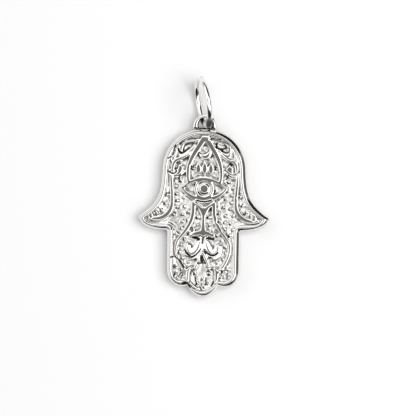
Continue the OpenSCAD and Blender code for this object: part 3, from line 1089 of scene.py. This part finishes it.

# %% [markdown]
# ## One solid from three
# Casting, foot and eyelet are one piece of metal once they are soldered. A boolean union welds the
# three closed meshes, so that nothing hidden is left inside. Then shade is painted near black in
# the seam under the eyelet, on the wall of its hole, and in a spot at the eyelet's upper right,
# beside the ring.


# %% Weld the meshes
def welded(name, meshes):
    """Union of closed meshes by the Boolean modifier, as a plain mesh."""
    objects = []
    for k, mesh in enumerate(meshes):
        part = bpy.data.objects.new(f"{name}_{k}", mesh)
        bpy.context.scene.collection.objects.link(part)
        objects.append(part)
    for other in objects[1:]:
        modifier = objects[0].modifiers.new(other.name, "BOOLEAN")
        modifier.operation = "UNION"
        modifier.solver = "MANIFOLD"
        modifier.object = other
    graph = bpy.context.evaluated_depsgraph_get()
    made = bpy.data.meshes.new_from_object(
        objects[0].evaluated_get(graph), preserve_all_data_layers=True, depsgraph=graph
    )
    for part in objects:
        bpy.data.objects.remove(part)
    made.name = name
    return made


def places(mesh):
    """The points of a mesh, a row for each."""
    rows = np.empty(3 * len(mesh.vertices))
    mesh.vertices.foreach_get("co", rows)
    return rows.reshape(-1, 3)


hand_mesh = welded("cast_hand", (casting, foot, eyelet))
print("welded", len(hand_mesh.vertices), "points, top", round(places(hand_mesh)[:, 2].max(), 3))

# %% Painted shade in the seam, in the hole and beside the ring
# Where shade is painted: the seam under the eyelet, the wall of its hole and a spot beside the ring
seam_half, seam_up, seam_low = 0.10, 0.17, 1.45
hole_shade_reach, hole_front = 0.06, 0.2
spot_side, spot_up, spot_half = 1.18, 1.51, 0.18


def bell(distance, half):
    """1 at no distance, and fading out within about this half width."""
    return np.exp(-((distance / half) ** 2))


def add_painted_shade(mesh):
    x, y, z = places(mesh).T
    marks = mesh.attributes["soot"].data
    soot = np.empty(len(x))
    marks.foreach_get("value", soot)
    # Painted shade: a dark line in the seam under the eyelet, the wall of the hole and a spot at the
    # eyelet's upper right, added to the painted shade of the marks
    in_seam = (np.abs(x - eyelet_side) < foot_w / 2) & (z > seam_low)
    seam = bell(y - top_y - seam_up, seam_half) * in_seam
    from_hole = np.hypot(x - eyelet_side, y - eyelet_y - hole_y)
    in_hole = (from_hole < hole_d / 2 + hole_shade_reach) & (z < eyelet_z + hole_front)
    from_spot = np.hypot(x - eyelet_side - spot_side, y - top_y - spot_up)
    spot = bell(from_spot, spot_half) * (z > eyelet_z)
    soot = np.max((soot, seam, in_hole, spot), 0)
    marks.foreach_set("value", soot)
    print("points with soot", int((soot > 0.5).sum()))


add_painted_shade(hand_mesh)


# %% Put the hand in its place
def piece(name, mesh, node, materials, sharp=35):
    """A finished piece: metres, smooth shading, in the frame."""
    mesh.transform(Matrix.Scale(MM, 4))
    mesh.materials.clear()
    for material in materials:
        mesh.materials.append(material)
    mesh.shade_smooth()
    mesh.set_sharp_from_angle(angle=math.radians(sharp))
    made = bpy.data.objects.new(name, mesh)
    bpy.context.scene.collection.objects.link(made)
    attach(made, "root")
    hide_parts(node)
    return made


# A face of the back looks down and lies on the table
back_turn, back_z = -0.9, 0.01
backs = [p for p in hand_mesh.polygons if p.normal.z < back_turn and p.center.z < back_z]
piece("cast_hand", hand_mesh, "hamsa_hand", (cast_silver, back_silver))
for p in backs:
    p.material_index = 1
print("cast_hand", triangles(hand_mesh), "triangles")

# %% [markdown]
# ## The jump ring
# A jump ring is round wire, wound and sawn, and pinched shut with pliers. Its two ends meet in a
# fine butt joint with eased edges. A node tree bends the wire: an arc nearly all the way round, a
# round profile, and a radius that draws in at both ends.

# %% The wire's node tree
ring_d, ring_wire, ring_slit = 7.15, 0.82, 0.05
ring_lean, ring_turn, slit_at = 24.0, 10.5, 112.0
ring_gap, ring_side = 0.1, 8.0
ring_r = (ring_d - ring_wire) / 2
RING_INPUTS = (
    ("Start", "Geometry", None),
    ("Radius", "Float", ring_r),
    ("Wire", "Float", ring_wire),
    ("Slit", "Float", ring_slit),
    ("Eased end", "Float", 0.07),
    ("Steps", "Int", 360),
    ("Sides", "Int", 40),
    ("Material", "Material", None),
)


def ring_tree():
    tree, given = new_tree("bend_wire", RING_INPUTS, "Ring")
    radius, wire = given.out("Radius"), given.out("Wire")
    arc = given.node(
        "GeometryNodeCurveArc",
        {"mode": "RADIUS"},
        {
            "Resolution": given.out("Steps"),
            "Radius": radius,
            "Start Angle": 0.0,
            "Sweep Angle": 2 * math.pi - given.out("Slit") / radius,
        },
    )
    walked = given.node("GeometryNodeSplineParameter").out("Length")
    whole = given.node("GeometryNodeSplineLength").out("Length")
    to_end = walked.math("MINIMUM", whole - walked)
    eased = given.out("Eased end")
    near_end = (1.0 - to_end / eased).math("MAXIMUM", 0.0).squared()
    drawn_in = 1.0 - near_end * eased / wire * 2.0
    sized = given.node("GeometryNodeSetCurveRadius", {}, {"Curve": arc, "Radius": drawn_in})
    profile = given.node(
        "GeometryNodeCurvePrimitiveCircle",
        {"mode": "RADIUS"},
        {"Resolution": given.out("Sides"), "Radius": wire / 2.0},
    )
    tube = given.node(
        "GeometryNodeCurveToMesh",
        {},
        {
            "Curve": sized,
            "Profile Curve": profile,
            "Scale": given.node("GeometryNodeInputRadius"),
            "Fill Caps": True,
        },
    )
    give_out(given, tube)
    return tree


ring_mesh = grown("wire_ring", bpy.data.meshes.new("start"), ring_tree(), {"Material": wire_silver})
print("wire_ring", triangles(ring_mesh), "triangles")

# %% [markdown]
# ## Where the ring leans
# The ring bears on the top of the eyelet and stands on the table on its own edge. Its centre
# follows from the point where it bears and from its lean, as in the CAD model.

# %% Place the jump ring
lean, facing = math.radians(ring_lean), math.radians(ring_turn)
bear_r = (eyelet_d - eyelet_top) / 2
side_way = math.radians(ring_side)
bear = Vector(
    (eyelet_side - bear_r * math.sin(side_way), eyelet_y + bear_r * math.cos(side_way), eyelet_z)
)
ring_in = ring_r - ring_wire / 2 - eyelet_t / 2 - ring_gap
ring_up = (ring_r * math.cos(lean) + ring_wire / 2 - eyelet_z) / math.cos(lean)
ring_out = math.sqrt(ring_in**2 - ring_up**2)
flat_way = Vector((-math.sin(facing), math.cos(facing), 0))
tall_way = Vector(
    (math.cos(facing) * math.sin(lean), math.sin(facing) * math.sin(lean), math.cos(lean))
)
ring_at = bear + ring_out * flat_way + ring_up * tall_way
slit_turn = 2 * math.asin(ring_slit / (2 * ring_r))
ring_mesh.transform(
    Matrix.Translation(ring_at)
    @ Matrix.Rotation(facing, 4, "Z")
    @ Matrix.Rotation(math.pi / 2 + lean, 4, "Y")
    @ Matrix.Rotation(math.radians(slit_at) + slit_turn / 2, 4, "Z")
)
print("ring centre", [round(v, 3) for v in ring_at])

# %% [markdown]
# ## Where the wire rubs and lies in shade
# Inside the eyelet the wire rubs and can't be buffed. Its skin is satin there, and shade is painted
# dark on it on the left, where it passes beneath the eyelet's top, and on the right, where the
# eyelet covers it.

# %% Satin and painted shade of the wire in the eyelet
rub_soft = 0.15
# Where the painted shade on the wire begins on the left and on the right, how softly it fades, and
# how dark the right one is
left_from, left_soft = -0.20, 0.10
right_from, right_soft, right_dark = 0.60, 0.05, 0.5


def below(distance, soft):
    """1 well below zero and 0 well above it, with a soft step."""
    return 1.0 / (1.0 + np.exp(distance / soft))


ring_x, ring_y, _ = places(ring_mesh).T
in_eyelet = below(ring_y - eyelet_y - hole_y - hole_d / 2, rub_soft)
dark_left = below(ring_x - eyelet_side - left_from, left_soft)
dark_right = right_dark * below(right_from - (ring_x - eyelet_side), right_soft)
# Painted shade on the wire beneath and beside the eyelet, and satin where it rubs
for name, numbers in (("soot", in_eyelet * (dark_left + dark_right)), ("satin", in_eyelet)):
    layer = ring_mesh.attributes.new(name, "FLOAT", "POINT").data
    layer.foreach_set("value", numbers.tolist())
piece("wire_ring", ring_mesh, "jump_ring", (wire_silver,), sharp=50)
print("worn points", int((in_eyelet > 0.5).sum()))

# %% [markdown]
# ## Table and light
# The table is plain and nearly white. Polished silver shows only what stands around it, so the room
# matters more than the lamp: it is a white tent, bright above and dark low down, and brightest on
# the right. Dark cards hang in it, one nearly overhead, which level metal mirrors towards the
# camera, and four lower ones, which the slopes of the relief and of the rim mirror as black lines.
# A large soft lamp at the right throws the shadow to the left, and is hidden from the metal.

# %% Floor
floor_grey, floor_rough, floor_half = 0.58, 0.9, 1.5
floor_material = bpy.data.materials.new("white_table")
floor_material.use_nodes = True
floor_shader = floor_material.node_tree.nodes["Principled BSDF"]
floor_shader.inputs["Base Color"].default_value = (floor_grey, floor_grey, floor_grey, 1.0)
floor_shader.inputs["Roughness"].default_value = floor_rough
floor_mesh = bpy.data.meshes.new("table_top")
corners = [(x * floor_half, y * floor_half, 0) for x, y in ((-1, -1), (1, -1), (1, 1), (-1, 1))]
floor_mesh.from_pydata(corners, [], [(0, 1, 2, 3)])
floor_mesh.materials.append(floor_material)
table_top = bpy.data.objects.new("table_top", floor_mesh)
bpy.context.scene.collection.objects.link(table_top)
print("table_top", 2 * floor_half, "m wide")

# %% White tent with dark cards
scene = bpy.context.scene
scene.view_settings.view_transform = "Standard"
room = bpy.data.worlds.new("tent")
scene.world = room
room.use_nodes = True
room_tree = room.node_tree
start = Term(room_tree)
look = start.node("ShaderNodeTexCoord").out("Generated")
# How dark the low part is, and between which heights it brightens
low_dark, low_from, low_to = 0.96, 0.15, 0.60
# The way to each wall, how nearly one looks there where it begins and is full, and the share of
# that darkness it takes away
left_wall_way, left_near, left_white = (-1.0, 0.25, 0.0), (0.35, 0.85), 0.4
right_wall_way, right_near, right_white = (1.0, 0.0, 0.0), (0.70, 1.0), 0.2
# The same for the brightest side, then the light away from it and the strength of it all
glow_way, glow_near = (0.75, 0.25, 0.60), (0.2, 0.95)
side_light, room_strength = 0.66, 2.0
dark_room = (0.014, 0.012, 0.010, 1.0)
white_room = (1.0, 1.0, 1.0, 1.0)
# The way a card lies, the angles where it is full and gone, and how dark it is
DARK_CARDS = (
    ((-0.20, -0.04, 0.98), 5, 20, 0.90),
    ((-0.60, -0.80, 0.41), 22, 36, 1.0),
    ((0.15, -0.97, 0.41), 22, 36, 1.0),
    ((0.50, 0.78, 0.45), 24, 36, 1.0),
    ((0.95, 0.05, 0.26), 14, 27, 0.85),
)


def facing_share(way):
    """How nearly the looked-at direction is this one, 1 when it is the same."""
    return start.node(
        "ShaderNodeVectorMath",
        {"operation": "DOT_PRODUCT"},
        {0: look, 1: tuple(Vector(way).normalized())},
    ).out("Value")


height = start.node("ShaderNodeSeparateXYZ", {}, {0: look}).out("Z")
left_wall = facing_share(left_wall_way).ramp(*left_near)
right_wall = facing_share(right_wall_way).ramp(*right_near)
low_part = low_dark * (1.0 - height.ramp(low_from, low_to))
low_part = low_part * (1.0 - left_white * left_wall) * (1.0 - right_white * right_wall)
shade = 1.0 - low_part
for way, full, gone, dark in DARK_CARDS:
    card = facing_share(way).ramp(math.cos(math.radians(gone)), math.cos(math.radians(full)))
    shade = shade * (1.0 - dark * card)
glow = facing_share(glow_way).ramp(*glow_near)
light = shade * (side_light + (1.0 - side_light) * glow)
sky = room_tree.nodes["Background"]
room_tree.links.new(light.mix(dark_room, white_room).socket, sky.inputs["Color"])
sky.inputs["Strength"].default_value = room_strength
print("dark cards", len(DARK_CARDS))

# %% Soft lamp at the right
lamp_at, lamp_mm, lamp_power = Vector((340, 60, 510)), 420, 4.1
lamp_data = bpy.data.lights.new("right_softbox", "AREA")
lamp_data.size = lamp_mm * MM
lamp_data.energy = lamp_power
lamp = bpy.data.objects.new("right_softbox", lamp_data)
lamp.location = lamp_at * MM
lamp.rotation_mode = "QUATERNION"
lamp.rotation_quaternion = lamp_at.to_track_quat("Z", "Y")
lamp.visible_glossy = False
scene.collection.objects.link(lamp)
print("lamp at", tuple(lamp.location))

# %% [markdown]
# ## Finish
# The helpers are taken out.

# %% Take out the helpers
for helper in (guides, bead_places, pits):
    bpy.data.objects.remove(helper)
